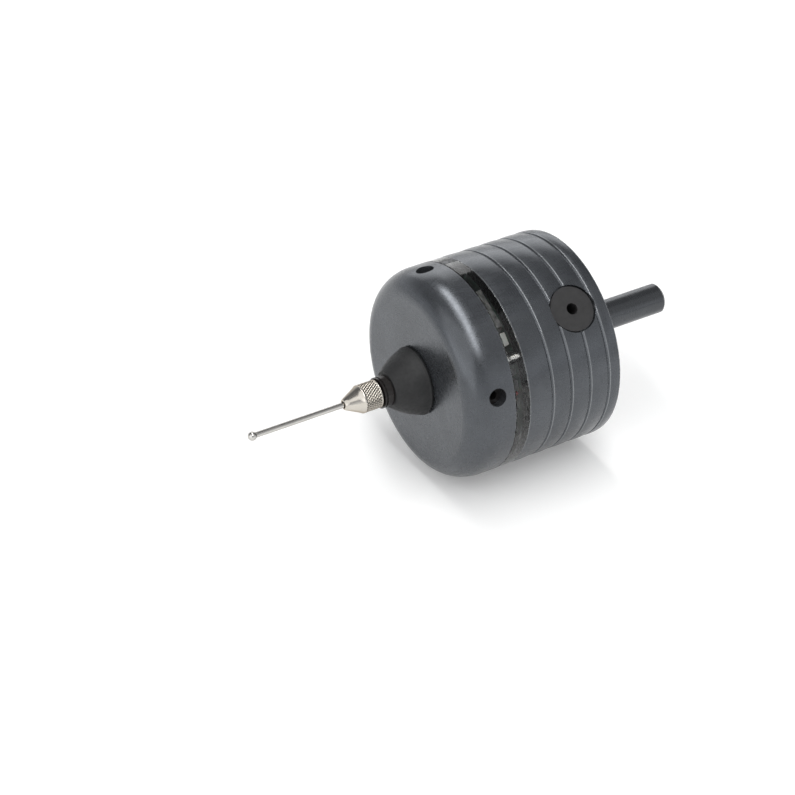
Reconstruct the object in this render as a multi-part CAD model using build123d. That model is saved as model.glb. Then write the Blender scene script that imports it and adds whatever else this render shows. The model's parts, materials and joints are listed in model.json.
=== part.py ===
"""Touch probe: ball stylus on a three-point contact seat, in a round body with a plain shank.

The probe lies on its side. Its axis runs along X, with the stylus towards -X and the shank towards +X.
+Z is up. The origin is below the middle of the probe, on the surface that it lies on. Sizes are in mm.
Lengths along the axis are stations, counted from the front edge of the clear ring towards the shank.
Angles round the axis are degrees above the horizontal on the -Y side.
"""

import os
from math import atan2, cos, degrees, radians, sin, sqrt

from build123d import *

# Body: cap, clear ring and rear housing share one outer diameter
body_diameter = 48.5
cap_length = 10.6
cap_corner_length = 7.1
cap_corner_height = 5.2
cap_front_wall = 2.6
cap_side_wall = 5.2
cap_opening_diameter = 15.2
ring_length = 3.6
ring_wall = 5.6
housing_length = 24.2
housing_side_wall = 5.65
housing_rear_wall = 4.0
edge_chamfer = 0.15
rear_edge_radius = 0.7

# Grip grooves of the rear housing
groove_count = 4
first_groove = 6.0
last_band = 3.35
groove_width = 0.7
groove_depth = 0.45
band_crown = 0.12

# Shank and the screws that hold its flange
shank_diameter = 7.0
shank_length = 27.8
shank_end_chamfer = 0.6
flange_width = 4.2
flange_thickness = 2.5
spigot_diameter = 6.0
pilot_step = 0.5
shank_screw_count = 3

# Screws
small_screw_diameter = 2.5
small_head_diameter = 4.2
small_head_height = 2.0
small_socket_width = 2.0
small_socket_depth = 1.1
case_screw_count = 3
case_screw_inset = 3.25
case_screw_angle = 33.0
case_screw_grip = 5.2
head_recess = 0.8
blind_hole_reserve = 0.8
shank_screw_length = 4.6
grub_diameter = 4.0
grub_length = 3.6
grub_socket_width = 2.0
grub_socket_depth = 1.8
grub_count = 4
grub_angle = 16.0
grub_from_carrier_rear = 2.3
thread_clearance = 0.03

# Jack socket in the housing wall
jack_angle = 47.5
jack_from_rear = 8.3
jack_pocket_diameter = 11.0
jack_pocket_sink = 1.65
jack_disc_gap = 0.35
jack_disc_thickness = 0.9
jack_bore_diameter = 2.6
jack_bore_depth = 11.0
jack_barrel_diameter = 5.8
jack_body_size = (7.0, 6.4, 8.0)
jack_body_gap = 0.6

# Contact seat: three pins on three pairs of balls
arm_angles = (90.0, 210.0, 330.0)
seat_circle = 24.0
ball_diameter = 3.0
ball_spacing = 0.5
ball_sink = 0.3
contact_pin_diameter = 2.0
contact_pin_root = 1.1
contact_pin_overhang = 2.5
contact_gap = 0.1
carrier_thickness = 6.0
centring_gap = 0.85
tilt_room = 0.6
strip_width = 1.4
strip_thickness = 0.2
terminal_angles = (6.5, 31.0)
terminal_margin = 2.0

# Hub, spring and spring seat
hub_lip = 0.7
hub_front = 2.0
hub_rear = 2.8
hub_bore_diameter = 3.0
spring_diameter = 7.2
spring_wire = 0.8
spring_turns = 5
spring_length = 11.0
spring_side_room = 0.7
spring_recess_depth = 0.6
seat_cup_wall = 1.1
seat_cup_floor = 1.6
seat_cup_skirt = 3.0

# Ring board behind the clear ring
board_thickness = 1.6
board_ledge = 0.6
board_rim = 1.3
light_size = (2.6, 2.2, 1.9)
light_count = 4
light_angle = 45.0
chip_size = (9.0, 2.2, 1.8)
chip_angle = 67.0
small_part_size = (2.0, 1.3, 1.0)
small_part_angles = (24.0, 13.0, 0.0, 108.0, 160.0, 205.0, 250.0, 285.0, 340.0)
part_rim_gap = 1.75
lead_diameter = 0.8
lead_bend = 1.0
jack_lead_spread = 6.0

# Rubber boot
boot_length = 7.5
boot_lip = 0.35
boot_nose_diameter = 8.4
boot_wall = 1.0
boot_flange_width = 1.9
boot_flange_thickness = 1.0
boot_edge_radius = 0.9
boot_neck_length = 1.2
boot_bulge = 0.35

# Stylus holder, collet, nut and stylus
holder_diameter = 5.0
collar_diameter = 7.1
collar_length = 2.3
collar_groove_width = 0.35
collar_groove_depth = 0.3
nose_wall = 0.6
nose_length = 3.6
nut_wall = 1.0
nut_grip_length = 4.6
nut_cone_length = 3.9
nut_tip_wall = 0.3
nut_bore_room = 0.45
nut_edge = 0.15
collet_wall = 0.975
collet_length = 7.2
collet_setback = 0.2
collet_cone_length = 1.8
collet_tip_wall = 0.475
collet_slit_width = 0.3
collet_slit_length = 5.0
stylus_diameter = 1.25
stylus_ball_diameter = 2.0
stylus_reach = 22.5

# Clearances
fit_clearance = 0.02
running_clearance = 0.05
moving_clearance = 0.2

# Drawing of round wire, by flat sides, and how far a cutter runs past a face
wire_sides = 6
open_end = 1.0

# Diameters that follow from the sizes above
case_screw_circle = body_diameter - 2 * case_screw_inset
pilot_diameter = shank_diameter + 2 * pilot_step
flange_diameter = pilot_diameter + 2 * flange_width
shank_screw_circle = (pilot_diameter + flange_diameter) / 2
cap_cavity_diameter = body_diameter - 2 * cap_side_wall
carrier_diameter = cap_cavity_diameter - 2 * centring_gap
spring_recess_diameter = spring_diameter + 2 * spring_side_room
hub_diameter = spring_recess_diameter + 2 * hub_lip
carrier_hole_diameter = hub_diameter + 2 * tilt_room
seat_cup_diameter = spring_recess_diameter + 2 * seat_cup_wall
housing_cavity_diameter = body_diameter - 2 * housing_side_wall
board_diameter = housing_cavity_diameter + 2 * board_ledge
ring_bore_diameter = body_diameter - 2 * ring_wall
part_seat_radius = ring_bore_diameter / 2 - part_rim_gap
board_hole_diameter = 2 * (part_seat_radius - board_rim)
jack_disc_diameter = jack_pocket_diameter - 2 * jack_disc_gap
boot_base_diameter = cap_opening_diameter + 2 * boot_lip
boot_flange_diameter = cap_opening_diameter + 2 * boot_flange_width
collet_diameter = stylus_diameter + 2 * collet_wall
collet_tip_diameter = stylus_diameter + 2 * collet_tip_wall
nose_diameter = collet_diameter + 2 * nose_wall
nut_diameter = nose_diameter + 2 * nut_wall
nut_bore_diameter = stylus_diameter + nut_bore_room
nut_tip_diameter = nut_bore_diameter + 2 * nut_tip_wall

# Stations and radii that follow from the sizes above
body_radius = body_diameter / 2
cap_front = -cap_length
cavity_front = cap_front + cap_front_wall
ring_rear = ring_length
housing_rear = ring_rear + housing_length
board_rear = ring_rear + board_thickness
wall_inside = housing_rear - housing_rear_wall
shank_end = housing_rear + shank_length
flange_front = wall_inside - flange_thickness
carrier_rear = cavity_front + carrier_thickness
grub_station = carrier_rear - grub_from_carrier_rear
ball_half_pitch = (ball_diameter + ball_spacing) / 2
ball_station = carrier_rear - ball_sink
seat_radius = seat_circle / 2
contact_pin_start = hub_bore_diameter / 2 + contact_pin_root
contact_pin_reach = seat_radius + contact_pin_overhang
touching_distance = (ball_diameter + contact_pin_diameter) / 2 + contact_gap
pin_station = ball_station + sqrt(touching_distance ** 2 - ball_half_pitch ** 2)
hub_nose = pin_station - hub_front
hub_back = pin_station + hub_rear
hub_recess_floor = hub_back - spring_recess_depth
spring_front = hub_recess_floor + running_clearance
spring_rear = spring_front + spring_length
cup_floor_front = spring_rear + running_clearance
cup_front = cup_floor_front - spring_recess_depth
cup_floor_rear = cup_floor_front + seat_cup_floor
spigot_front = cup_floor_rear
groove_pitch = (housing_length - first_groove - last_band) / (groove_count - 1)
jack_station = housing_rear - jack_from_rear
pocket_floor = body_radius - jack_pocket_sink
jack_body_top = housing_cavity_diameter / 2 - jack_body_gap
boot_nose = cap_front - boot_length
collar_rear = boot_nose - running_clearance
collar_front = collar_rear - collar_length
nut_rear = collar_front - moving_clearance
nut_grip_front = nut_rear - nut_grip_length
nut_tip = nut_grip_front - nut_cone_length
nose_front = collar_front - nose_length
collet_rear = collar_front - collet_setback
collet_tip = collet_rear - collet_length
collet_cone_rear = collet_tip + collet_cone_length
ball_centre = nut_tip - stylus_reach
stylus_tip = ball_centre - stylus_ball_diameter / 2
x_shift = -(stylus_tip + shank_end) / 2
resting_place = Pos(x_shift, 0, body_radius)


def around(angle):
    """The turn about the axis that brings +Z to an angle above the horizontal, on the -Y side."""
    return Rot(90 - angle, 0, 0)


def angles_from(first, count):
    """Evenly spaced angles round the axis."""
    return [first + 360 * index / count for index in range(count)]


def bar(front, rear, diameter):
    """A round bar on the axis between two stations."""
    return Pos((front + rear) / 2, 0, 0) * Rot(0, 90, 0) * Cylinder(diameter / 2, rear - front)


def turned(edges):
    """A closed half outline, given as edges in station and radius, turned about the axis."""
    return revolve(make_face(Curve() + edges), axis=Axis.X)


def turned_points(points):
    """A closed half outline with straight edges only, turned about the axis."""
    return turned([Polyline(*points, close=True)])


def hexagon(width, depth):
    """A hexagonal bar on Z for a key socket, its width measured across the flats."""
    return extrude(RegularPolygon(width / sqrt(3), 6), depth)


def axial_screw(head_end, length):
    """A small socket screw on the axis, its head's outer face at a station and its tip towards -X."""
    head = bar(head_end - small_head_height, head_end, small_head_diameter)
    thread = bar(head_end - small_head_height - length, head_end - small_head_height, small_screw_diameter)
    key = Rot(0, 90, 0) * hexagon(small_socket_width, small_socket_depth)
    return head + thread - Pos(head_end - small_socket_depth, 0, 0) * key


def lead(points):
    """A wire along straight runs joined by arcs, drawn with flat sides."""
    path = FilletPolyline(*points, radius=lead_bend)
    section = Plane(origin=path @ 0, z_dir=path % 0) * RegularPolygon(lead_diameter / 2, wire_sides)
    return sweep(section, path=path)


def ring_place(station, radius, angle):
    """A point at a station, a radius and an angle, as a tuple."""
    return (station, -radius * cos(radians(angle)), radius * sin(radians(angle)))


def cap_outline():
    """The cap's section: a flat face, a soft elliptical corner and a straight wall."""
    opening = cap_opening_diameter / 2
    corner_end = cap_front + cap_corner_length
    corner_start = body_radius - cap_corner_height
    return [
        Line((cap_front, opening), (cap_front, corner_start)),
        EllipticalCenterArc(
            (corner_end, corner_start), cap_corner_length, cap_corner_height, start_angle=90, arc_size=90
        ),
        Polyline(
            (corner_end, body_radius),
            (-edge_chamfer, body_radius),
            (0, body_radius - edge_chamfer),
            (0, cap_cavity_diameter / 2),
            (cavity_front, cap_cavity_diameter / 2),
            (cavity_front, opening),
            (cap_front, opening),
        ),
    ]


def make_front_cap():
    """Turned cup with threaded holes for the grub screws and the case screws."""
    cap = turned(cap_outline())
    for angle in angles_from(grub_angle, grub_count):
        hole = Cylinder(grub_diameter / 2 + thread_clearance, 2 * cap_side_wall)
        cap -= around(angle) * Pos(grub_station, 0, body_radius - cap_side_wall / 2) * hole
    for angle in angles_from(case_screw_angle, case_screw_count):
        bottom = -case_screw_grip - blind_hole_reserve
        hole = bar(bottom, open_end, small_screw_diameter + 2 * thread_clearance)
        cap -= around(angle) * Pos(0, 0, case_screw_circle / 2) * hole
    return cap


def make_clear_ring():
    """Clear spacer ring that lets the lights show, clamped by the case screws."""
    inner = ring_bore_diameter / 2
    ring = turned_points([
        (0, inner),
        (0, body_radius - edge_chamfer),
        (edge_chamfer, body_radius),
        (ring_rear - edge_chamfer, body_radius),
        (ring_rear, body_radius - edge_chamfer),
        (ring_rear, inner),
    ])
    for angle in angles_from(case_screw_angle, case_screw_count):
        hole = bar(-open_end, ring_rear + open_end, small_screw_diameter + 2 * running_clearance)
        ring -= around(angle) * Pos(0, 0, case_screw_circle / 2) * hole
    return ring


def grooved_wall():
    """The housing's outer line: lightly crowned bands between V grooves, ending at the rear edge's start."""
    low = body_radius - band_crown
    bottom = body_radius - groove_depth
    edges = [Line((ring_rear, low - edge_chamfer), (ring_rear + edge_chamfer, low))]
    start = ring_rear + edge_chamfer
    for index in range(groove_count):
        groove = ring_rear + first_groove + index * groove_pitch
        end = groove - groove_width / 2
        edges.append(ThreePointArc((start, low), ((start + end) / 2, body_radius), (end, low)))
        start = groove + groove_width / 2
        edges.append(Polyline((end, low), (groove, bottom), (start, low)))
    end = housing_rear - rear_edge_radius
    edges.append(ThreePointArc((start, low), ((start + end) / 2, body_radius), (end, low)))
    return edges


def make_rear_housing():
    """Turned housing: grooved wall, seat for the ring board, rear wall, jack pocket and screw holes."""
    low = body_radius - band_crown
    pilot_hole = pilot_diameter / 2 + fit_clearance
    board_seat = board_diameter / 2 + running_clearance
    cavity = housing_cavity_diameter / 2
    edges = grooved_wall()
    edge_centre = (housing_rear - rear_edge_radius, low - rear_edge_radius)
    edges.append(CenterArc(edge_centre, rear_edge_radius, 0, 90))
    edges.append(Polyline(
        (housing_rear, low - rear_edge_radius),
        (housing_rear, pilot_hole),
        (wall_inside, pilot_hole),
        (wall_inside, cavity),
        (board_rear, cavity),
        (board_rear, board_seat),
        (ring_rear, board_seat),
        (ring_rear, low - edge_chamfer),
    ))
    housing = turned(edges)
    pocket = Pos(jack_station, 0, pocket_floor) * Cylinder(
        jack_pocket_diameter / 2, jack_pocket_sink * 2, align=(Align.CENTER, Align.CENTER, Align.MIN)
    )
    barrel_hole = Pos(jack_station, 0, (pocket_floor + jack_body_top) / 2) * Cylinder(
        jack_barrel_diameter / 2 + fit_clearance, 2 * housing_side_wall
    )
    housing -= around(jack_angle) * (pocket + barrel_hole)
    head_seat = housing_rear - head_recess - small_head_height
    for angle in angles_from(case_screw_angle, case_screw_count):
        hole = bar(0, housing_rear, small_screw_diameter + 2 * running_clearance)
        counterbore = bar(head_seat, housing_rear + open_end, small_head_diameter + 2 * running_clearance)
        housing -= around(angle) * Pos(0, 0, case_screw_circle / 2) * (hole + counterbore)
    for angle in angles_from(arm_angles[0], shank_screw_count):
        depth = shank_screw_length - flange_thickness + blind_hole_reserve
        hole = bar(wall_inside - open_end, wall_inside + depth, small_screw_diameter + 2 * thread_clearance)
        housing -= around(angle) * Pos(0, 0, shank_screw_circle / 2) * hole
    return housing


def make_case_screws():
    """Long screws from the rear face through the ring into the cap."""
    head_end = housing_rear - head_recess
    length = head_end - small_head_height + case_screw_grip
    screw = axial_screw(head_end, length)
    return [
        around(angle) * Pos(0, 0, case_screw_circle / 2) * screw
        for angle in angles_from(case_screw_angle, case_screw_count)
    ]


def make_centring_screws():
    """Grub screws that press on the contact carrier's rim, with their key sockets outward."""
    inner_end = carrier_diameter / 2
    grub = Pos(0, 0, inner_end + grub_length / 2) * Cylinder(grub_diameter / 2, grub_length)
    socket_floor = inner_end + grub_length - grub_socket_depth
    grub -= Pos(0, 0, socket_floor) * hexagon(grub_socket_width, grub_socket_depth)
    return [around(angle) * Pos(grub_station, 0, 0) * grub for angle in angles_from(grub_angle, grub_count)]


def make_shank():
    """Shank: spigot for the spring seat, flange inside the rear wall, pilot in the wall, plain end."""
    radius = shank_diameter / 2
    pilot = pilot_diameter / 2
    shank = turned_points([
        (spigot_front, 0),
        (spigot_front, spigot_diameter / 2),
        (flange_front, spigot_diameter / 2),
        (flange_front, flange_diameter / 2),
        (wall_inside, flange_diameter / 2),
        (wall_inside, pilot),
        (housing_rear, pilot),
        (housing_rear, radius),
        (shank_end - shank_end_chamfer, radius),
        (shank_end, radius - shank_end_chamfer),
        (shank_end, 0),
    ])
    for angle in angles_from(arm_angles[0], shank_screw_count):
        ends = (flange_front - open_end, wall_inside + open_end)
        hole = bar(*ends, small_screw_diameter + 2 * running_clearance)
        shank -= around(angle) * Pos(0, 0, shank_screw_circle / 2) * hole
    return shank


def make_shank_screws():
    """Screws that hold the shank's flange to the rear wall, their heads towards the front."""
    screw = Pos(flange_front - small_head_height, 0, 0) * Rot(0, 0, 180) * axial_screw(0, shank_screw_length)
    return [
        around(angle) * Pos(0, 0, shank_screw_circle / 2) * screw
        for angle in angles_from(arm_angles[0], shank_screw_count)
    ]


def make_spring_seat():
    """Cup on the shank's spigot that the trigger spring stands in."""
    outer = seat_cup_diameter / 2
    recess = spring_recess_diameter / 2
    inner = spigot_diameter / 2 + fit_clearance
    skirt_rear = cup_floor_rear + seat_cup_skirt
    return turned_points([
        (cup_floor_front, 0),
        (cup_floor_front, recess),
        (cup_front, recess),
        (cup_front, outer),
        (skirt_rear, outer),
        (skirt_rear, inner),
        (cup_floor_rear, inner),
        (cup_floor_rear, 0),
    ])


def make_trigger_spring():
    """Coil spring between the hub and the spring seat, its round wire drawn with flat sides."""
    height = spring_length - spring_wire
    coil = Helix(height / spring_turns, height, (spring_diameter - spring_wire) / 2, direction=(1, 0, 0))
    section = Plane(origin=coil @ 0, z_dir=coil % 0) * RegularPolygon(spring_wire / 2, wire_sides)
    return Pos(spring_front + spring_wire / 2, 0, 0) * sweep(section, path=coil, is_frenet=True)


def ball_places():
    """Locations of the six contact balls, in pairs astride each arm."""
    return [
        around(angle) * Pos(ball_station, side * ball_half_pitch, seat_radius)
        for angle in arm_angles
        for side in (-1, 1)
    ]


def ball_pockets():
    """The flat-bottomed holes that the contact balls are pressed into, open to the rear."""
    floor = -ball_diameter / 2
    drill = bar(floor, -floor, ball_diameter + 2 * fit_clearance)
    return [place * drill for place in ball_places()]


def make_contact_carrier():
    """Insulating disc with ball pockets behind and a recess for the boot's flange in front."""
    hole = carrier_hole_diameter / 2
    recess = boot_flange_diameter / 2 + running_clearance
    recess_floor = cavity_front + boot_flange_thickness + 2 * running_clearance
    outer = carrier_diameter / 2
    carrier = turned_points([
        (recess_floor, hole),
        (recess_floor, recess),
        (cavity_front, recess),
        (cavity_front, outer),
        (carrier_rear, outer),
        (carrier_rear, hole),
    ])
    for pocket in ball_pockets():
        carrier -= pocket
    return carrier


def make_contact_balls():
    """Six steel balls in three pairs."""
    return [place * Sphere(ball_diameter / 2) for place in ball_places()]


def strip(first, last):
    """A flat strip on the carrier's rear face between two angles, cut back where the balls are."""
    section = Pos(carrier_rear + strip_thickness / 2, seat_radius) * Rectangle(strip_thickness, strip_width)
    band = Rot(180 - last, 0, 0) * revolve(section, axis=Axis.X, revolution_arc=last - first)
    for pocket in ball_pockets():
        band -= pocket
    return band


def make_contact_strips():
    """Strips that join neighbouring pairs of balls in series, and the two end strips with their terminals."""
    spread = degrees(atan2(ball_half_pitch, seat_radius))
    low_terminal, high_terminal = terminal_angles
    return [
        strip(arm_angles[0] + spread, arm_angles[1] - spread),
        strip(arm_angles[1] + spread, arm_angles[2] - spread),
        strip(arm_angles[2] - 360 + spread, low_terminal + terminal_margin),
        strip(high_terminal - terminal_margin, arm_angles[0] - spread),
    ]


def make_stylus_hub():
    """Hub that carries the three pins, with a recess for the spring and a bore for the holder."""
    bore = hub_bore_diameter / 2
    recess = spring_recess_diameter / 2
    hub = turned_points([
        (hub_nose, bore),
        (hub_nose, hub_diameter / 2),
        (hub_back, hub_diameter / 2),
        (hub_back, recess),
        (hub_recess_floor, recess),
        (hub_recess_floor, bore),
    ])
    for angle in arm_angles:
        hub -= around(angle) * pin_bar(contact_pin_diameter + 2 * fit_clearance)
    return hub


def pin_bar(diameter):
    """A bar on Z where a contact pin lies, out to the pin's reach."""
    return Pos(pin_station, 0, (contact_pin_start + contact_pin_reach) / 2) * Cylinder(
        diameter / 2, contact_pin_reach - contact_pin_start
    )


def make_contact_pins():
    """Three pins set in the hub, each resting across one pair of balls."""
    return [around(angle) * pin_bar(contact_pin_diameter) for angle in arm_angles]


def make_circuit_board():
    """Ring board clamped between the clear ring and its seat in the housing."""
    return turned_points([
        (ring_rear, board_hole_diameter / 2),
        (ring_rear, board_diameter / 2),
        (board_rear, board_diameter / 2),
        (board_rear, board_hole_diameter / 2),
    ])


def board_block(size, angle):
    """A block on the board's front face: its size is along the rim, across it and above the board."""
    along, across, height = size
    return around(angle) * Pos(ring_rear - height / 2, 0, part_seat_radius) * Box(height, along, across)


def make_indicator_lights():
    """Surface lights that shine through the clear ring."""
    return [board_block(light_size, angle) for angle in angles_from(light_angle, light_count)]


def make_board_chip():
    """The long dark chip that shows through the clear ring."""
    return board_block(chip_size, chip_angle)


def make_board_parts():
    """Small surface parts round the board."""
    return [board_block(small_part_size, angle) for angle in small_part_angles]


def make_jack_socket():
    """Stereo socket for a small plug: round barrel in the wall, square body inside, blind bore."""
    length, width, height = jack_body_size
    barrel_height = pocket_floor - jack_body_top
    body = Pos(jack_station, 0, jack_body_top - height / 2) * Box(length, width, height)
    barrel = Pos(jack_station, 0, jack_body_top + barrel_height / 2) * Cylinder(
        jack_barrel_diameter / 2, barrel_height
    )
    bore = Pos(jack_station, 0, pocket_floor - jack_bore_depth / 2) * Cylinder(
        jack_bore_diameter / 2, jack_bore_depth
    )
    return around(jack_angle) * (body + barrel - bore)


def make_jack_disc():
    """Flat disc in the pocket, with the socket's hole in its middle."""
    middle = pocket_floor + jack_disc_thickness / 2
    disc = Cylinder(jack_disc_diameter / 2, jack_disc_thickness)
    disc -= Cylinder(jack_bore_diameter / 2, jack_disc_thickness)
    return around(jack_angle) * Pos(jack_station, 0, middle) * disc


def make_contact_leads():
    """Two wires from the end strips to the board's front face."""
    bend_station = (carrier_rear + ring_rear) / 2
    return [
        lead([
            ring_place(carrier_rear + strip_thickness, seat_radius, angle),
            ring_place(bend_station, seat_radius, angle),
            ring_place(bend_station, part_seat_radius, angle),
            ring_place(ring_rear, part_seat_radius, angle),
        ])
        for angle in terminal_angles
    ]


def make_jack_leads():
    """Two wires from the board's rear face to the front of the socket's body."""
    socket_front = jack_station - jack_body_size[0] / 2
    step = (socket_front - board_rear) / 3
    low = jack_body_top - jack_body_size[2] / 2
    return [
        lead([
            ring_place(board_rear, part_seat_radius, angle),
            ring_place(board_rear + step, part_seat_radius, angle),
            ring_place(board_rear + 2 * step, low, angle),
            ring_place(socket_front, low, angle),
        ])
        for angle in (jack_angle - jack_lead_spread, jack_angle + jack_lead_spread)
    ]


def make_rubber_boot():
    """Soft cone: flange behind the cap's front wall, lip in front of it, and a neck on the holder."""
    flange_rear = cavity_front + running_clearance + boot_flange_thickness
    waist = cap_opening_diameter / 2 - running_clearance
    lip_rear = cap_front - running_clearance
    base = boot_base_diameter / 2
    nose = boot_nose_diameter / 2
    neck = holder_diameter / 2 + running_clearance
    neck_rear = boot_nose + boot_neck_length
    cone_rear = lip_rear - boot_edge_radius
    inside_base = waist - boot_wall
    inside_nose = nose - boot_wall
    middle = (cone_rear + boot_nose) / 2
    inside_middle = (cone_rear + neck_rear) / 2
    return turned([
        Polyline(
            (flange_rear, inside_base),
            (flange_rear, boot_flange_diameter / 2),
            (cavity_front + running_clearance, boot_flange_diameter / 2),
            (cavity_front + running_clearance, waist),
            (lip_rear, waist),
            (lip_rear, base - boot_edge_radius / 2),
        ),
        ThreePointArc(
            (lip_rear, base - boot_edge_radius / 2),
            (lip_rear - boot_edge_radius / 3, base - boot_edge_radius / 8),
            (cone_rear, base - boot_edge_radius / 4),
        ),
        ThreePointArc(
            (cone_rear, base - boot_edge_radius / 4),
            (middle, (base + nose) / 2 + boot_bulge),
            (boot_nose, nose),
        ),
        Polyline(
            (boot_nose, nose),
            (boot_nose, neck),
            (neck_rear, neck),
            (neck_rear, inside_nose),
        ),
        ThreePointArc(
            (neck_rear, inside_nose),
            (inside_middle, (inside_base + inside_nose) / 2 + boot_bulge),
            (cone_rear, inside_base),
        ),
        Line((cone_rear, inside_base), (flange_rear, inside_base)),
    ])


def make_stylus_holder():
    """Turned holder: spigot in the hub, stem through the boot, grooved collar and bored nose."""
    stem = holder_diameter / 2
    collar = collar_diameter / 2
    groove_rear = collar_front + 2 * collar_groove_width
    groove_front = groove_rear - collar_groove_width
    nose = nose_diameter / 2
    bore = collet_diameter / 2 + fit_clearance
    return turned_points([
        (hub_recess_floor, 0),
        (hub_recess_floor, hub_bore_diameter / 2 - fit_clearance),
        (hub_nose, hub_bore_diameter / 2 - fit_clearance),
        (hub_nose, stem),
        (collar_rear, stem),
        (collar_rear, collar),
        (groove_rear, collar),
        (groove_rear, collar - collar_groove_depth),
        (groove_front, collar - collar_groove_depth),
        (groove_front, collar),
        (collar_front, collar),
        (collar_front, nose),
        (nose_front, nose),
        (nose_front, bore),
        (collet_rear, bore),
        (collet_rear, 0),
    ])


def make_collet():
    """Collet with a cone in front, its jaws parted by crossed slits."""
    radius = collet_diameter / 2
    bore = stylus_diameter / 2 + fit_clearance
    collet = turned_points([
        (collet_rear, bore),
        (collet_rear, radius),
        (collet_cone_rear, radius),
        (collet_tip, collet_tip_diameter / 2),
        (collet_tip, bore),
    ])
    slit = Pos(collet_tip + collet_slit_length / 2, 0, 0) * Box(
        collet_slit_length, collet_diameter, collet_slit_width
    )
    for angle in (0, 90):
        collet -= Rot(angle, 0, 0) * slit
    return collet


def make_collet_nut():
    """Nut: round grip, cone in front, bore over the holder's nose, inner cone for the collet."""
    grip = nut_diameter / 2
    thread = nose_diameter / 2 + running_clearance
    chamber = collet_diameter / 2 + running_clearance
    thread_front = nose_front - running_clearance
    return turned_points([
        (nut_rear, thread),
        (nut_rear, grip - nut_edge),
        (nut_rear - nut_edge, grip),
        (nut_grip_front + nut_edge, grip),
        (nut_grip_front, grip - nut_edge),
        (nut_tip, nut_tip_diameter / 2),
        (nut_tip, nut_bore_diameter / 2),
        (collet_tip - running_clearance, nut_bore_diameter / 2),
        (collet_tip - running_clearance, collet_tip_diameter / 2 + running_clearance),
        (collet_cone_rear, chamber),
        (thread_front, chamber),
        (thread_front, thread),
    ])


def make_stylus():
    """Ground pin and ball in one piece, its plain end held in the collet."""
    stem = bar(ball_centre, collet_rear, stylus_diameter)
    return stem + Pos(ball_centre, 0, 0) * Sphere(stylus_ball_diameter / 2)


nodes = {
    "front_cap": make_front_cap,
    "clear_ring": make_clear_ring,
    "rear_housing": make_rear_housing,
    "case_screws": make_case_screws,
    "centring_screws": make_centring_screws,
    "shank": make_shank,
    "shank_screws": make_shank_screws,
    "spring_seat": make_spring_seat,
    "trigger_spring": make_trigger_spring,
    "contact_carrier": make_contact_carrier,
    "contact_balls": make_contact_balls,
    "contact_strips": make_contact_strips,
    "contact_leads": make_contact_leads,
    "stylus_hub": make_stylus_hub,
    "contact_pins": make_contact_pins,
    "circuit_board": make_circuit_board,
    "indicator_lights": make_indicator_lights,
    "board_chip": make_board_chip,
    "board_parts": make_board_parts,
    "jack_socket": make_jack_socket,
    "jack_disc": make_jack_disc,
    "jack_leads": make_jack_leads,
    "rubber_boot": make_rubber_boot,
    "stylus_holder": make_stylus_holder,
    "collet": make_collet,
    "collet_nut": make_collet_nut,
    "stylus": make_stylus,
}

os.makedirs("parts", exist_ok=True)
for node_name, make in nodes.items():
    made = make()
    pieces = made if isinstance(made, list) else [made]
    solids = [solid for piece in pieces for solid in (resting_place * piece).solids()]
    shape = solids[0] if len(solids) == 1 else Compound(children=solids)
    export_step(shape, f"parts/{node_name}.step")
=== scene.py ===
import json
import math

import bmesh
import bpy
from mathutils import Matrix, Vector


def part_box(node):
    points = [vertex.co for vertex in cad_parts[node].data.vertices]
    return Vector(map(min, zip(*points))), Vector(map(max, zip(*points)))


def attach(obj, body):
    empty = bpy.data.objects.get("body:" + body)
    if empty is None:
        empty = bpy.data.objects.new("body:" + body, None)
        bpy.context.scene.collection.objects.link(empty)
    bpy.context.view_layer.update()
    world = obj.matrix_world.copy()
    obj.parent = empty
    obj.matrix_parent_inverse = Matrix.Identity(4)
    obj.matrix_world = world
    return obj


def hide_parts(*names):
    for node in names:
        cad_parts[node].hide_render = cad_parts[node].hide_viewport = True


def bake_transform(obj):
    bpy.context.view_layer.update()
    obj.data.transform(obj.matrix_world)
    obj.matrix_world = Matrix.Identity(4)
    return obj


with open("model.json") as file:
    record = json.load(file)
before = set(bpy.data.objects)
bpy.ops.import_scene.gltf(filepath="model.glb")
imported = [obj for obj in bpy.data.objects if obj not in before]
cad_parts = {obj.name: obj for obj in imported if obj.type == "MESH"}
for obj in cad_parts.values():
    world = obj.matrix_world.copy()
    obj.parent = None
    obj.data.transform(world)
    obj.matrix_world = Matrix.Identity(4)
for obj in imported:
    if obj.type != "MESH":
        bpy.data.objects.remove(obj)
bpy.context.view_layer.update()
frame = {"nodes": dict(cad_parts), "record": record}
nodes = frame["nodes"]

MM = 0.001
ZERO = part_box("clear_ring")[0].x                                         # station 0, the ring's front edge
AXIS = (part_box("rear_housing")[0].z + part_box("rear_housing")[1].z) / 2   # height of the probe's axis


# Camera, light and floor: the image in pixels, the sensor in mm, angles in degrees and places in metres
IMAGE_WIDTH, FOCAL_LENGTH = 795, 2400
IMAGE_SHIFT = (1.5, -69.5)
SENSOR_WIDTH = 36.0
CAMERA_AZIMUTH, CAMERA_ELEVATION = -31.34, 32.84
CAMERA_X, CAMERA_Y, CAMERA_ABOVE_AXIS = -0.24436, -0.37301, 0.29732
LIGHT_TARGET = (0, 0, 0.02)
SKY_COLOR, SKY_STRENGTH = (0.95, 0.97, 1.0, 1), 0.22
HORIZON_HEIGHT, HORIZON_STRENGTH = 0.05, 0.9
OVERHEAD_HEIGHT, OVERHEAD_STRENGTH = 0.6, 0.16
FLOOR_REACH, FLOOR_HEIGHT = 6, -0.00005
FLOOR_COLOR, FLOOR_GLOW = (0.86, 0.86, 0.855, 1), 0.2


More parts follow.
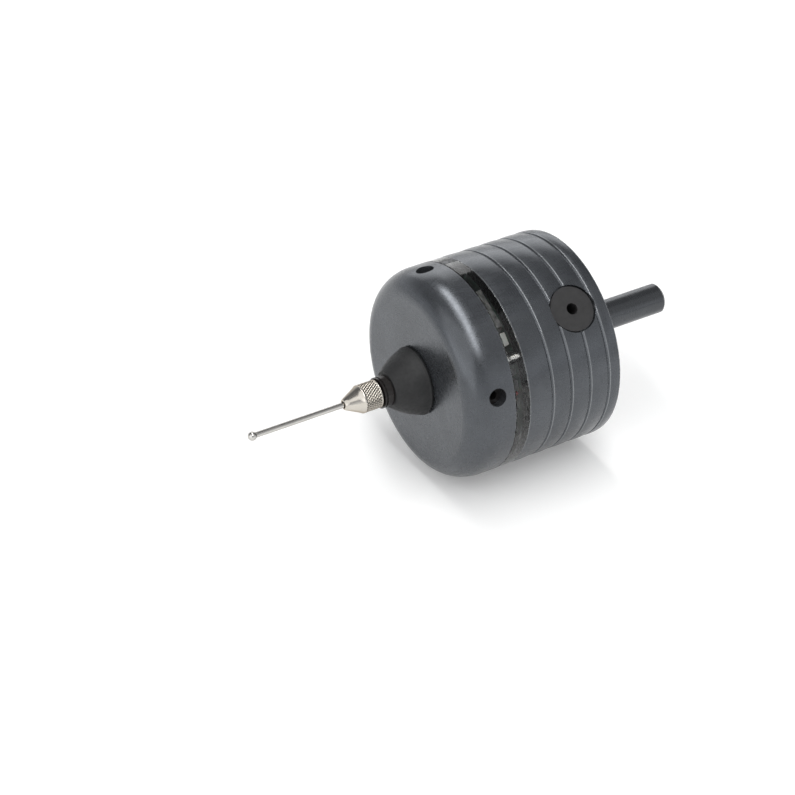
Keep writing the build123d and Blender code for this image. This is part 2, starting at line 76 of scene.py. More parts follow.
def make_camera():
    data = bpy.data.cameras.new("camera")
    data.sensor_width = SENSOR_WIDTH
    data.lens = FOCAL_LENGTH / IMAGE_WIDTH * SENSOR_WIDTH
    data.shift_x = IMAGE_SHIFT[0] / IMAGE_WIDTH
    data.shift_y = IMAGE_SHIFT[1] / IMAGE_WIDTH
    data.clip_start, data.clip_end = 0.01, 20
    camera = bpy.data.objects.new("camera", data)
    bpy.context.scene.collection.objects.link(camera)
    azimuth, elevation = math.radians(CAMERA_AZIMUTH), math.radians(CAMERA_ELEVATION)
    back = Vector((math.sin(azimuth) * math.cos(elevation), -math.cos(azimuth) * math.cos(elevation),
                   math.sin(elevation)))
    right = Vector((math.cos(azimuth), math.sin(azimuth), 0))
    up = back.cross(right)
    turn = Matrix((right, up, back)).transposed().to_4x4()
    camera.matrix_world = Matrix.Translation((CAMERA_X, CAMERA_Y, CAMERA_ABOVE_AXIS + AXIS)) @ turn
    bpy.context.scene.camera = camera


def area_light(name, place, size, power):
    """A rectangular light that faces the probe."""
    data = bpy.data.lights.new(name, "AREA")
    data.shape, data.size, data.size_y, data.energy = "RECTANGLE", size[0], size[1], power
    lamp = bpy.data.objects.new(name, data)
    bpy.context.scene.collection.objects.link(lamp)
    lamp.location = place
    lamp.rotation_euler = (Vector(LIGHT_TARGET) - Vector(place)).to_track_quat("-Z", "Y").to_euler()


def sees_backdrop(tree, kinds):
    """A factor that is 1 for the given kinds of ray."""
    path = tree.nodes.new("ShaderNodeLightPath")
    total = path.outputs[kinds[0]]
    for kind in kinds[1:]:
        either = tree.nodes.new("ShaderNodeMath")
        either.operation = "MAXIMUM"
        tree.links.new(total, either.inputs[0])
        tree.links.new(path.outputs[kind], either.inputs[1])
        total = either.outputs[0]
    return total


def make_world():
    """A white backdrop; metal and glass see it white near the horizon and dim overhead, as in a studio."""
    world = bpy.data.worlds.new("studio")
    bpy.context.scene.world = world
    world.use_nodes = True
    tree = world.node_tree
    tree.nodes.clear()
    out = tree.nodes.new("ShaderNodeOutputWorld")
    seen = tree.nodes.new("ShaderNodeBackground")
    seen.inputs[0].default_value = (1, 1, 1, 1)
    light = tree.nodes.new("ShaderNodeBackground")
    light.inputs[0].default_value = SKY_COLOR
    light.inputs[1].default_value = SKY_STRENGTH
    mirrored = tree.nodes.new("ShaderNodeBackground")
    height = tree.nodes.new("ShaderNodeSeparateXYZ")
    tree.links.new(tree.nodes.new("ShaderNodeTexCoord").outputs["Generated"], height.inputs[0])
    fade = tree.nodes.new("ShaderNodeMapRange")
    fade.interpolation_type = "SMOOTHSTEP"
    fade.inputs["From Min"].default_value = HORIZON_HEIGHT
    fade.inputs["From Max"].default_value = OVERHEAD_HEIGHT
    fade.inputs["To Min"].default_value = HORIZON_STRENGTH
    fade.inputs["To Max"].default_value = OVERHEAD_STRENGTH
    tree.links.new(height.outputs[2], fade.inputs["Value"])
    mirrored.inputs[0].default_value = SKY_COLOR
    tree.links.new(fade.outputs[0], mirrored.inputs[1])
    inner, outer = tree.nodes.new("ShaderNodeMixShader"), tree.nodes.new("ShaderNodeMixShader")
    tree.links.new(sees_backdrop(tree, ("Is Glossy Ray", "Is Transmission Ray")), inner.inputs[0])
    tree.links.new(light.outputs[0], inner.inputs[1])
    tree.links.new(mirrored.outputs[0], inner.inputs[2])
    tree.links.new(sees_backdrop(tree, ("Is Camera Ray",)), outer.inputs[0])
    tree.links.new(inner.outputs[0], outer.inputs[1])
    tree.links.new(seen.outputs[0], outer.inputs[2])
    tree.links.new(outer.outputs[0], out.inputs[0])


def make_floor():
    """A pale floor that takes shadows and glows a little where it is seen or mirrored."""
    bm = bmesh.new()
    for x, y in ((-1, -1), (1, -1), (1, 1), (-1, 1)):
        bm.verts.new((x * FLOOR_REACH, y * FLOOR_REACH, FLOOR_HEIGHT))
    bm.faces.new(bm.verts)
    mesh = bpy.data.meshes.new("floor")
    bm.to_mesh(mesh)
    bm.free()
    floor = bpy.data.objects.new("floor", mesh)
    bpy.context.scene.collection.objects.link(floor)
    mat = bpy.data.materials.new("floor_white")
    mat.use_nodes = True
    tree = mat.node_tree
    tree.nodes.clear()
    out = tree.nodes.new("ShaderNodeOutputMaterial")
    diffuse = tree.nodes.new("ShaderNodeBsdfDiffuse")
    diffuse.inputs[0].default_value = FLOOR_COLOR
    glow = tree.nodes.new("ShaderNodeEmission")
    glow.inputs[0].default_value = (1, 1, 1, 1)
    scale = tree.nodes.new("ShaderNodeMath")
    scale.operation = "MULTIPLY"
    scale.inputs[1].default_value = FLOOR_GLOW
    add = tree.nodes.new("ShaderNodeAddShader")
    seen = sees_backdrop(tree, ("Is Camera Ray", "Is Glossy Ray", "Is Transmission Ray"))
    tree.links.new(seen, scale.inputs[0])
    tree.links.new(scale.outputs[0], glow.inputs[1])
    tree.links.new(diffuse.outputs[0], add.inputs[0])
    tree.links.new(glow.outputs[0], add.inputs[1])
    tree.links.new(add.outputs[0], out.inputs[0])
    mesh.materials.append(mat)


# The nut and its knurl, as stations and sizes in mm
KNURL_COUNT = 30
KNURL_LEAD = 0.92
KNURL_DEEP, KNURL_SHALLOW = 0.15, 0.09
NUT_RADIUS = 3.2
NUT_REAR, NUT_GRIP, NUT_TIP = -20.65, -25.25, -29.15
GRIP_MARGIN, GRIP_FADE = 0.3, 0.25
GRIP_STEPS, NUT_SEGMENTS = 66, 360
CONE_RADIUS, CONE_TIP_RADIUS = 3.05, 1.2
NUT_THREAD_RADIUS, NUT_THREAD_END = 2.25, -24.1
NUT_SEAT_RADIUS, NUT_SEAT_END = 1.65, -26.05
NUT_THROAT_RADIUS, NUT_HOLE_RADIUS, NUT_HOLE_REAR = 1.15, 0.85, -27.9


# Materials. Scales of noise are per metre, depths of relief in metres.
TURNING_SCALE = 5200
GRAIN_DEPTH = 0.00001
# The rim colour is a painted highlight along the grooves' edges; the valley colour is painted shade in the
# knurl's valleys
RIM_HIGHLIGHT_COLOR, VALLEY_SHADE_COLOR = (0.24, 0.25, 0.26), (0.13, 0.115, 0.09)
EDGE_RADIUS = 0.00022


class Look:
    """A principled material with short helpers for its procedural detail."""

    def __init__(self, name, color, rough, metal=0.0):
        self.name = name
        self.mat = bpy.data.materials.new(name)
        self.mat.use_nodes = True
        self.tree = self.mat.node_tree
        self.shader = self.tree.nodes["Principled BSDF"]
        self.shader.inputs["Base Color"].default_value = (*color, 1)
        self.shader.inputs["Roughness"].default_value = rough
        self.shader.inputs["Metallic"].default_value = metal
        self.last_bump = None

    def set(self, **values):
        for key, value in values.items():
            self.shader.inputs[key.replace("_", " ")].default_value = value

    def node(self, kind, **settings):
        node = self.tree.nodes.new(kind)
        for key, value in settings.items():
            setattr(node, key, value)
        return node

    def link(self, a, b):
        self.tree.links.new(a, b)

    def math(self, operation, *values):
        node = self.node("ShaderNodeMath", operation=operation)
        for index, value in enumerate(values):
            if isinstance(value, (int, float)):
                node.inputs[index].default_value = value
            else:
                self.link(value, node.inputs[index])
        return node.outputs[0]

    def place(self):
        """Coordinates of the piece, in metres."""
        return self.node("ShaderNodeTexCoord").outputs["Object"]

    def split(self):
        node = self.node("ShaderNodeSeparateXYZ")
        self.link(self.place(), node.inputs[0])
        return node.outputs

    def station(self):
        """The place along the probe's axis, in mm behind the ring's front edge."""
        return self.math("MULTIPLY", self.math("SUBTRACT", self.split()[0], ZERO), 1 / MM)

    def near(self, value, middle, width):
        """1 where the value is at the middle, falling to 0 at the width on either side."""
        away = self.math("ABSOLUTE", self.math("SUBTRACT", value, middle))
        return self.math("MAXIMUM", self.math("SUBTRACT", 1.0, self.math("DIVIDE", away, width)), 0.0)

    def turned(self):
        """A vector of station and radius only, so that its noise runs round the probe's axis."""
        x, y, z = self.split()
        up = self.math("SUBTRACT", z, AXIS)
        square = self.math("MULTIPLY_ADD", y, y, self.math("MULTIPLY", up, up))
        radius = self.math("SQRT", square)
        both = self.node("ShaderNodeCombineXYZ")
        self.link(x, both.inputs[0])
        self.link(radius, both.inputs[1])
        return both.outputs[0]

    def noise(self, scale, detail=3.0, rough=0.5, vector=None, distortion=0.0):
        node = self.node("ShaderNodeTexNoise")
        values = {"Scale": scale, "Detail": detail, "Roughness": rough, "Distortion": distortion}
        for key, value in values.items():
            node.inputs[key].default_value = value
        self.link(vector or self.place(), node.inputs["Vector"])
        return node.outputs["Fac"]

    def stretch(self, scale):
        node = self.node("ShaderNodeMapping")
        node.inputs["Scale"].default_value = scale
        self.link(self.place(), node.inputs["Vector"])
        return node.outputs[0]

    def ramp(self, source, *stops):
        node = self.node("ShaderNodeValToRGB")
        elements = node.color_ramp.elements
        while len(elements) < len(stops):
            elements.new(0.5)
        for element, (place, value) in zip(elements, stops):
            element.position = place
            element.color = (*value, 1)
        self.link(source, node.inputs[0])
        return node.outputs[0]

    def color(self, source, *stops):
        self.link(self.ramp(source, *stops), self.shader.inputs["Base Color"])

    def rough(self, source, low, high, start=0.3, end=0.7):
        node = self.node("ShaderNodeMapRange")
        for key, value in (("From Min", start), ("From Max", end), ("To Min", low), ("To Max", high)):
            node.inputs[key].default_value = value
        self.link(source, node.inputs["Value"])
        self.link(node.outputs[0], self.shader.inputs["Roughness"])

    def tint(self, factor, color):
        """Blends the base colour towards another one."""
        node = self.node("ShaderNodeMix", data_type="RGBA")
        base = self.shader.inputs["Base Color"]
        self.link(factor, node.inputs[0])
        self.link(base.links[0].from_socket, node.inputs[6])
        node.inputs[7].default_value = (*color, 1)
        self.link(node.outputs[2], base)

    def round_edges(self, radius, where):
        """Shades sharp edges as if they were rounded, so that they catch the light, where the mask is 1."""
        bevel = self.node("ShaderNodeBevel", samples=6)
        bevel.inputs["Radius"].default_value = radius
        mix = self.node("ShaderNodeMix", data_type="VECTOR")
        self.link(where, mix.inputs[0])
        self.link(self.node("ShaderNodeNewGeometry").outputs["Normal"], mix.inputs[4])
        self.link(bevel.outputs[0], mix.inputs[5])
        self.link(mix.outputs[1], self.shader.inputs["Normal"])
        self.last_bump = mix.outputs[1]

    def bump(self, source, strength, distance):
        node = self.node("ShaderNodeBump")
        node.inputs["Strength"].default_value = strength
        node.inputs["Distance"].default_value = distance
        self.link(source, node.inputs["Height"])
        if self.last_bump:
            self.link(self.last_bump, node.inputs["Normal"])
        self.link(node.outputs[0], self.shader.inputs["Normal"])
        self.last_bump = node.outputs[0]


def plain_look(name, color, rough, metal=0.0, scale=400, dark=0.8):
    """A surface with a slight mottle of colour, a varied gloss and a fine grain."""
    look = Look(name, color, rough, metal)
    shade = tuple(c * dark for c in color)
    look.color(look.noise(scale, 4, 0.55), (0.3, shade), (0.7, color))
    look.rough(look.noise(scale * 3, 4, 0.6), rough * 0.85, min(1, rough * 1.2))
    look.bump(look.noise(scale * 6, 3, 0.5), 0.12, GRAIN_DEPTH)
    return look


def turned_look(name, color, rough, metal, scale=9000, depth=0.2, dark=0.85):
    """A surface with fine turning lines round the probe's axis."""
    look = Look(name, color, rough, metal)
    shade = tuple(c * dark for c in color)
    look.color(look.noise(220, 4, 0.55), (0.3, shade), (0.7, color))
    lines = look.noise(scale, 2, 0.6, look.turned())
    look.rough(lines, rough * 0.85, min(1, rough * 1.25))
    look.bump(lines, depth, GRAIN_DEPTH)
    look.bump(look.noise(2600, 3, 0.5), 0.1, 0.000012)
    return look


# The housing's grooves and the ring, as stations in mm, and the lighter rim along them, a painted highlight
# where their edges catch the light
FIRST_GROOVE, GROOVE_PITCH, GROOVE_HALF = 9.6, 4.95, 0.35
RING_LENGTH, RING_RIM = 3.6, 0.1
RIM_WIDTH = 0.16


def groove_masks(look):
    """The painted highlight's rim behind each groove and beside the ring, and the strip round each groove
    where the edges are rounded.
    """
    station = look.station()
    turns = look.math("DIVIDE", look.math("SUBTRACT", station, FIRST_GROOVE - GROOVE_PITCH / 2), GROOVE_PITCH)
    across = look.math("MULTIPLY_ADD", look.math("FRACT", turns), GROOVE_PITCH, -GROOVE_PITCH / 2)
    behind = look.math("GREATER_THAN", turns, 0.0)
    rim_highlight = look.math("MULTIPLY", look.near(across, GROOVE_HALF + RIM_WIDTH / 3, RIM_WIDTH), behind)
    for edge in (-RING_RIM, RING_LENGTH + RING_RIM):
        rim_highlight = look.math("MAXIMUM", rim_highlight, look.near(station, edge, RIM_WIDTH))
    strip = look.math("LESS_THAN", look.math("ABSOLUTE", across), GROOVE_HALF + 2 * RIM_WIDTH)
    return rim_highlight, look.math("MULTIPLY", strip, behind)


def body_look(name, base, rough, metal, grooved=False):
    """Dark satin anodising: soft clouding, fine turning lines and short scratches along the wall."""
    look = Look(name, base, rough, metal)
    dark = tuple(c * 0.86 for c in base)
    light = tuple(c * 1.1 for c in base)
    look.color(look.noise(140, 5, 0.6), (0.3, dark), (0.55, base), (0.8, light))
    lines = look.noise(TURNING_SCALE, 2, 0.6, look.turned())
    scratches = look.noise(700, 5, 0.65, look.stretch((0.35, 1.0, 1.0)), 0.4)
    gloss = look.math("MULTIPLY_ADD", scratches, 0.6, look.math("MULTIPLY", lines, 0.4))
    look.rough(gloss, rough - 0.03, rough + 0.045, 0.38, 0.62)
    if grooved:
        rim_highlight, strip = groove_masks(look)
        # painted highlight: a lighter base colour on the rim behind each groove and beside the ring
        look.tint(rim_highlight, RIM_HIGHLIGHT_COLOR)
        look.round_edges(EDGE_RADIUS, strip)
    look.bump(lines, 0.05, GRAIN_DEPTH)
    look.bump(look.noise(1300, 2, 0.4), 0.02, 0.00002)
    look.set(Specular_IOR_Level=0.7)
    return look


def acrylic_look():
    """Clear acrylic with a faint haze and turned faces."""
    look = Look("clear_acrylic", (0.95, 0.96, 0.96), 0.06)
    look.color(look.noise(260, 4, 0.6), (0.35, (0.90, 0.92, 0.92)), (0.7, (0.98, 0.99, 0.99)))
    lines = look.noise(TURNING_SCALE, 2, 0.6, look.turned())
    look.rough(lines, 0.02, 0.1, 0.35, 0.7)
    look.bump(lines, 0.08, 0.000012)
    look.bump(look.noise(1200, 3, 0.5), 0.1, 0.00002)
    look.set(Transmission_Weight=1.0, IOR=1.49)
    return look


def rubber_look():
    """Matt black rubber with a fine moulded grain and a little dust."""
    look = Look("black_rubber", (0.013, 0.0132, 0.0138), 0.55)
    look.color(look.noise(330, 5, 0.6), (0.3, (0.010, 0.0102, 0.0106)), (0.75, (0.018, 0.0182, 0.019)))
    look.rough(look.noise(1500, 4, 0.6), 0.46, 0.68)
    look.bump(look.noise(5200, 4, 0.6), 0.3, 0.00002)
    look.bump(look.noise(700, 3, 0.5), 0.12, 0.00006)
    look.set(Specular_IOR_Level=0.35)
    return look


def steel_look(name, color, rough, tint, scale=8000):
    """Ground or plated metal, darker where it is seen edge on."""
    look = turned_look(name, color, rough, 1.0, scale, 0.16, 0.88)
    look.shader.inputs["Specular Tint"].default_value = (*tint, 1)
    return look


def nickel_look():
    """Nickel plate, bright on the cone and on the knurl's ridges, with painted shade darkening its valleys.
    """
    look = steel_look("nickel", (0.60, 0.565, 0.51), 0.19, (0.55, 0.48, 0.40), 14000)
    split = look.node("ShaderNodeSeparateXYZ")
    look.link(look.turned(), split.inputs[0])
    depth = look.math("SUBTRACT", NUT_RADIUS, look.math("MULTIPLY", split.outputs[1], 1 / MM))
    valley_floor = look.math("MINIMUM", look.math("DIVIDE", depth, KNURL_DEEP), 1.0)
    on_grip = look.math("GREATER_THAN", look.station(), NUT_GRIP + 0.2)
    valley_shade = look.math("MULTIPLY", look.math("MAXIMUM", valley_floor, 0.0), on_grip)
    # painted shade: the base colour darkens towards the bottom of each knurl valley
    look.tint(valley_shade, VALLEY_SHADE_COLOR)
    return look


def moulded_look():
    """Matt black moulding with a fine even grain."""
    look = Look("black_plastic", (0.020, 0.0195, 0.020), 0.5)
    look.color(look.noise(700, 5, 0.6), (0.3, (0.016, 0.0155, 0.016)), (0.7, (0.025, 0.0245, 0.025)))
    look.rough(look.noise(2200, 4, 0.6), 0.42, 0.6)
    look.bump(look.noise(4200, 4, 0.6), 0.25, 0.00002)
    return look


def make_looks():
    made = [
        body_look("body_grey", (0.082, 0.088, 0.097), 0.27, 0.7, grooved=True),
        body_look("shank_grey", (0.070, 0.074, 0.080), 0.25, 0.7),
        acrylic_look(),
        rubber_look(),
        turned_look("black_steel", (0.024, 0.021, 0.020), 0.22, 0.35),
        turned_look("brass", (0.70, 0.50, 0.24), 0.28, 1.0),
        plain_look("spring_steel", (0.55, 0.55, 0.56), 0.25, 1.0),
        turned_look("insulator", (0.045, 0.045, 0.05), 0.55, 0.0),
        steel_look("bright_steel", (0.58, 0.565, 0.54), 0.17, (0.45, 0.42, 0.39)),
        plain_look("wire_insulation", (0.42, 0.04, 0.035), 0.45, scale=900),
        plain_look("board_green", (0.04, 0.085, 0.06), 0.4, scale=600, dark=0.6),
        plain_look("light_lens", (0.82, 0.83, 0.78), 0.3, scale=900, dark=0.9),
        # painted glints: the chip is black, and its mottle up to light grey paints the glints the clear ring
        # throws over it
        plain_look("chip_black", (0.30, 0.30, 0.29), 0.3, scale=900, dark=0.04),
        plain_look("chip_ends", (0.5, 0.5, 0.5), 0.3, 0.9, scale=900),
        moulded_look(),
        nickel_look(),
    ]
    return {look.name: look.mat for look in made}


looks = make_looks()
slots = {s["node"]: s["material_slot"] for s in frame["record"]["subparts"]}
for name, obj in nodes.items():
    obj.data.materials.clear()
    obj.data.materials.append(looks[slots[name]])


# Pieces in mesh code
def finish_mesh(name, bm, slot_name, sharp):
    """An object from a bmesh, with its material, smooth but for edges sharper than an angle in degrees."""
    bmesh.ops.recalc_face_normals(bm, faces=bm.faces)
    mesh = bpy.data.meshes.new(name)
    bm.to_mesh(mesh)
    bm.free()
    mesh.shade_smooth()
    mesh.set_sharp_from_angle(angle=math.radians(sharp))
    obj = bpy.data.objects.new(name, mesh)
    bpy.context.scene.collection.objects.link(obj)
    mesh.materials.append(looks[slot_name])
    return obj


def lathe(name, rows, segments, slot_name, closed=True, relief=None, centre=(0.0, 0.0), sharp=32):
    """A turned mesh from rows of (station, radius, kind), in mm, about an axis along X.

    A closed outline wraps from its last row to its first. A row of radius 0 is one point on the axis.
    relief(kind, station, radius, angle) gives the radius at an angle, in mm and radians.
    """
    bm = bmesh.new()
    rings = []
    for station, radius, kind in rows:
        if radius == 0:
            rings.append([bm.verts.new((ZERO + station * MM, centre[0] * MM, AXIS + centre[1] * MM))])
            continue
        ring = []
        for index in range(segments):
            angle = 2 * math.pi * index / segments
            r = relief(kind, station, radius, angle) if relief else radius
            ring.append(bm.verts.new((
                ZERO + station * MM, (centre[0] - r * math.cos(angle)) * MM,
                AXIS + (centre[1] + r * math.sin(angle)) * MM,
            )))
        rings.append(ring)
    pairs = list(zip(rings, rings[1:] + rings[:1])) if closed else list(zip(rings, rings[1:]))
    for a, b in pairs:
        for index in range(segments):
            after = (index + 1) % segments
            if len(a) == 1 and len(b) == 1:
                continue
            if len(a) == 1:
                bm.faces.new((a[0], b[after], b[index]))
            elif len(b) == 1:
                bm.faces.new((a[index], a[after], b[0]))
            else:
                bm.faces.new((a[index], a[after], b[after], b[index]))
    return finish_mesh(name, bm, slot_name, sharp)


def steps(start, end, count):
    return [start + (end - start) * index / count for index in range(count + 1)]


def arc_radius(a, b, c):
    """The radius as a function of station, on the circle through three points."""
    (x1, y1), (x2, y2), (x3, y3) = a, b, c
    d = 2 * (x1 * (y2 - y3) + x2 * (y3 - y1) + x3 * (y1 - y2))
    ux = ((x1**2 + y1**2) * (y2 - y3) + (x2**2 + y2**2) * (y3 - y1) + (x3**2 + y3**2) * (y1 - y2)) / d
    uy = ((x1**2 + y1**2) * (x3 - x2) + (x2**2 + y2**2) * (x1 - x3) + (x3**2 + y3**2) * (x2 - x1)) / d
    size = math.hypot(x1 - ux, y1 - uy)
    sign = 1 if y2 > uy else -1
    return lambda x: uy + sign * math.sqrt(max(0.0, size**2 - (x - ux) ** 2))


# The boot, in the sizes of the CAD part's node, in mm, in three bands.
BOOT_NOSE, BOOT_SLEEVE, BOOT_SHOULDER, BOOT_LIP = -18.1, -16.9, -11.55, -10.65
FLANGE_FRONT, FLANGE_REAR, FLANGE_RADIUS = -7.95, -6.95, 9.5
NECK_RADIUS, WEB_RADIUS, SLEEVE_RADIUS = 7.55, 6.55, 2.55
OUTER_ARC = ((BOOT_SHOULDER, 7.725), (-14.825, 6.425), (BOOT_NOSE, 4.2))
INNER_ARC = ((BOOT_SLEEVE, 3.2), (-14.225, 5.225), (BOOT_SHOULDER, WEB_RADIUS))
EDGE_ARC = ((BOOT_LIP, 7.5), (-10.95, 7.8375), (BOOT_SHOULDER, 7.725))
BOOT_BEND_START = -10.9
BOOT_CUTS = (-12.9, -14.9)
BOOT_SEGMENTS = 112


def make_boot():
    outer, inner, edge = arc_radius(*OUTER_ARC), arc_radius(*INNER_ARC), arc_radius(*EDGE_ARC)
    first, second = BOOT_CUTS

    def outside(start, end, count):
        return [(x, outer(x), "") for x in steps(start, end, count)]

    def inside(start, end, count):
        return [(x, inner(x), "") for x in steps(start, end, count)]

    base = [(FLANGE_REAR, WEB_RADIUS, ""), (FLANGE_REAR, FLANGE_RADIUS, "")]
    base += [(FLANGE_FRONT, FLANGE_RADIUS, ""), (FLANGE_FRONT, NECK_RADIUS, ""), (BOOT_LIP, NECK_RADIUS, "")]
    base += [(x, edge(x), "") for x in steps(BOOT_LIP - 0.02, BOOT_SHOULDER, 8)]
    base += outside(BOOT_SHOULDER - 0.15, first, 10)
    base += inside(first, BOOT_SHOULDER, 10)
    middle = outside(first, second, 14) + inside(second, first, 14)
    nose = outside(second, BOOT_NOSE, 14)
    nose += [(BOOT_NOSE, SLEEVE_RADIUS, ""), (BOOT_SLEEVE, SLEEVE_RADIUS, "")]
    nose += inside(BOOT_SLEEVE, second, 8)
    spans = (
        ("boot_base", base, "housing", "spring", BOOT_BEND_START, first),
        ("boot_middle", middle, "spring", "boot", first, second),
        ("boot_nose", nose, "boot", "stylus_unit", second, BOOT_NOSE),
    )
    for name, rows, before, after, start, end in spans:
        band = lathe(name, rows, BOOT_SEGMENTS, "black_rubber")
        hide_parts("rubber_boot")
        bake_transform(band)


# The trigger spring, a coil in three lengths
COIL_FRONT, COIL_REAR, COIL_PITCH = 2.273, 12.473, 2.04
COIL_RADIUS, WIRE_RADIUS = 3.2, 0.4
COIL_CUTS = (8.4, 5.3)
COIL_STILL, COIL_MOVED = 11.4, 2.6       # two stations near the coil's ends, in mm
BEND_MARGIN = 0.5                        # a margin past each length's cut, in mm
WIRE_SIDES, STEPS_A_TURN = 12, 40


def coil(name, start, end):
    """A length of the coil between two stations, closed at both ends."""
    bm = bmesh.new()
    rings = []
    turn = -2 * math.pi / COIL_PITCH
    for station in steps(start, end, round(abs(end - start) / COIL_PITCH * STEPS_A_TURN)):
        angle = math.pi / 2 + turn * (station - COIL_FRONT)
        outward = Vector((0, -math.cos(angle), math.sin(angle)))
        along = Vector((1, COIL_RADIUS * turn * math.sin(angle), COIL_RADIUS * turn * math.cos(angle)))
        across = along.normalized().cross(outward)
        middle = Vector((station, 0, 0)) + COIL_RADIUS * outward
        ring = []
        for index in range(WIRE_SIDES):
            round_wire = 2 * math.pi * index / WIRE_SIDES
            point = middle + WIRE_RADIUS * (math.cos(round_wire) * outward + math.sin(round_wire) * across)
            ring.append(bm.verts.new(point * MM + Vector((ZERO, 0, AXIS))))
        rings.append(ring)
    for a, b in zip(rings, rings[1:]):
        for index in range(WIRE_SIDES):
            after = (index + 1) % WIRE_SIDES
            bm.faces.new((a[index], a[after], b[after], b[index]))
    bm.faces.new(rings[0])
    bm.faces.new(rings[-1])
    return finish_mesh(name, bm, "spring_steel", 50)


def make_spring():
    first, second = COIL_CUTS
    spans = (
        ("spring_rear", COIL_REAR, first, "housing", "spring", COIL_STILL, first + BEND_MARGIN),
        ("spring_middle", first, second, "spring", "boot", first - BEND_MARGIN, second + BEND_MARGIN),
        ("spring_front", second, COIL_FRONT, "boot", "stylus_unit", second - BEND_MARGIN, COIL_MOVED),
    )
    for name, start, end, before, after, still, moved in spans:
        length = coil(name, start, end)
        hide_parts("trigger_spring")
        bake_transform(length)


def valley(turns):
    """0 on the ridge between two grooves and 1 at a groove's bottom."""
    return 1 - min(1.0, abs((turns % 1) - 0.5) * 2.6)


def nut_relief(kind, station, radius, angle):
    if kind != "knurl":
        return radius
    around, along = KNURL_COUNT * angle / (2 * math.pi), station / KNURL_LEAD
    to_rear, to_front = NUT_REAR - GRIP_MARGIN - station, station - NUT_GRIP - GRIP_MARGIN
    depth = max(0.0, min(1.0, to_rear / GRIP_FADE, to_front / GRIP_FADE))
    cut = max(KNURL_DEEP * valley(around - along), KNURL_SHALLOW * valley(around + along))
    return radius - cut * depth


def make_nut():
    rows = [(NUT_REAR, NUT_THREAD_RADIUS, ""), (NUT_REAR, CONE_RADIUS, "")]
    rows += [(NUT_REAR - 0.15, NUT_RADIUS, "")]
    grip = steps(NUT_REAR - GRIP_MARGIN, NUT_GRIP + GRIP_MARGIN, GRIP_STEPS)
    rows += [(x, NUT_RADIUS, "knurl") for x in grip]
    rows += [(NUT_GRIP + 0.12, NUT_RADIUS, ""), (NUT_GRIP, NUT_RADIUS - 0.1, "")]
    for t in (0.02, 0.25, 0.5, 0.75, 0.97):
        radius = CONE_RADIUS - (CONE_RADIUS - CONE_TIP_RADIUS) * t
        rows.append((NUT_GRIP + (NUT_TIP - NUT_GRIP) * t, radius, ""))
    rows += [(NUT_TIP, CONE_TIP_RADIUS - 0.08, ""), (NUT_TIP, NUT_HOLE_RADIUS, "")]
    rows += [(NUT_HOLE_REAR, NUT_HOLE_RADIUS, ""), (NUT_HOLE_REAR, NUT_THROAT_RADIUS, "")]
    rows += [(NUT_SEAT_END, NUT_SEAT_RADIUS, ""), (NUT_THREAD_END, NUT_SEAT_RADIUS, "")]
    rows += [(NUT_THREAD_END, NUT_THREAD_RADIUS, "")]
    nut = lathe("knurled_nut", rows, NUT_SEGMENTS, "nickel", relief=nut_relief, sharp=50)
    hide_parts("collet_nut")
    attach(nut, "nut")


# The case screws' thread and key sockets, as stations and sizes in mm, and their angles in degrees
THREAD_PITCH, THREAD_DEPTH, THREAD_STEPS = 0.45, 0.2, 6
SCREW_TIP, SCREW_HEAD, SCREW_END = -5.2, 25.0, 27.0
SCREW_RADIUS, HEAD_RADIUS, SCREW_TIP_RADIUS = 1.25, 2.1, 0.95
KEY_RADIUS, KEY_DEPTH, KEY_CONE = 1.1547, 1.1, 0.25
SCREW_INSET, SCREW_ANGLES = 3.25, (33, 153, 273)
SCREW_SEGMENTS = 24


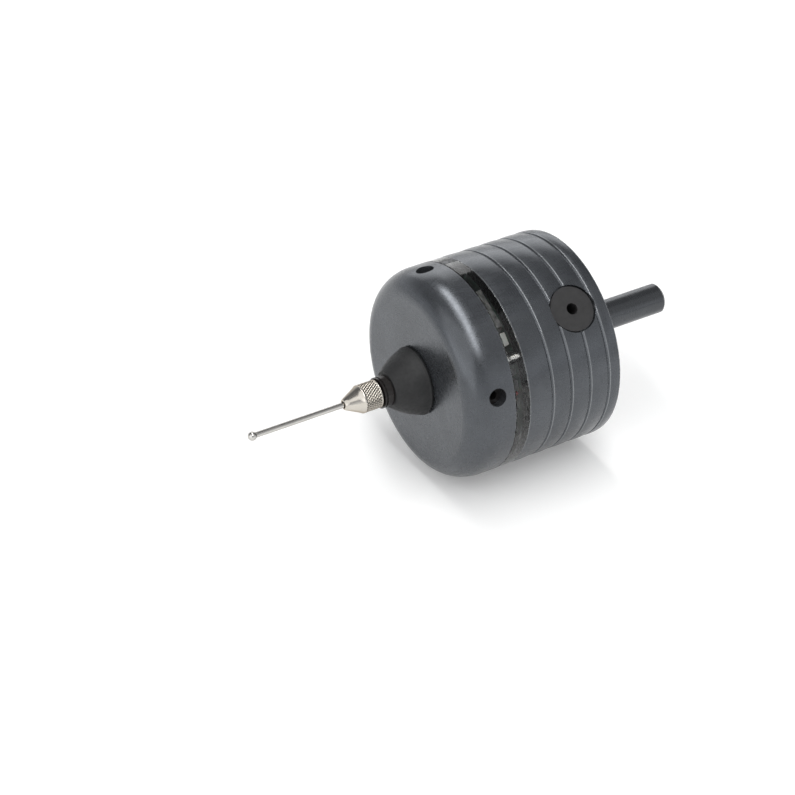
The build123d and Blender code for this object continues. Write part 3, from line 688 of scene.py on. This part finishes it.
def screw_relief(kind, station, radius, angle):
    if kind == "thread":
        turns = (station / THREAD_PITCH - angle / (2 * math.pi)) % 1
        return radius - THREAD_DEPTH * abs(2 * turns - 1)
    if kind == "hexagon":
        sixth = math.pi / 3
        return radius * math.cos(sixth / 2) / math.cos((angle % sixth) - sixth / 2)
    return radius


def make_case_screws():
    circle = AXIS / MM - SCREW_INSET
    thread_start, thread_end = SCREW_TIP + 0.3, SCREW_HEAD - 0.2
    count = round((thread_end - thread_start) / THREAD_PITCH * THREAD_STEPS)
    key_floor = SCREW_END - KEY_DEPTH
    rows = [(SCREW_TIP, 0, ""), (SCREW_TIP, SCREW_TIP_RADIUS, "")]
    rows += [(SCREW_TIP + 0.2, SCREW_TIP_RADIUS + 0.1, "")]
    rows += [(x, SCREW_RADIUS, "thread") for x in steps(thread_start, thread_end, count)]
    rows += [(SCREW_HEAD - 0.05, SCREW_RADIUS - 0.05, ""), (SCREW_HEAD, SCREW_RADIUS, "")]
    rows += [(SCREW_HEAD, HEAD_RADIUS - 0.1, ""), (SCREW_HEAD + 0.1, HEAD_RADIUS, "")]
    rows += [(SCREW_END - 0.25, HEAD_RADIUS, ""), (SCREW_END, HEAD_RADIUS - 0.2, "")]
    rows += [(SCREW_END, SCREW_RADIUS, ""), (SCREW_END - 0.08, KEY_RADIUS, "hexagon")]
    rows += [(key_floor, KEY_RADIUS, "hexagon"), (key_floor - KEY_CONE, 0, "")]
    for index, angle in enumerate(SCREW_ANGLES):
        a = math.radians(angle)
        place = (-circle * math.cos(a), circle * math.sin(a))
        screw = lathe(f"case_screw_{index + 1}", rows, SCREW_SEGMENTS, "bright_steel", closed=False,
                      relief=screw_relief, centre=place, sharp=25)
        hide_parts("case_screws")
        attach(screw, "housing")


make_boot()
make_spring()
make_nut()
make_case_screws()
make_camera()
make_world()
make_floor()
# A long strip over the probe and three soft fills, each with its place and size in metres and its watts
area_light("top_strip", (-0.01, -0.06, 0.62), (0.16, 1.0), 3.6)
area_light("front_fill", (0.42, -0.62, 0.55), (1.3, 1.0), 1.3)
area_light("left_fill", (-0.9, -0.3, 0.6), (1.4, 1.4), 7.0)
area_light("back_fill", (0.45, 0.9, 0.45), (0.9, 0.5), 2.0)
bpy.context.scene.view_settings.view_transform = "Standard"
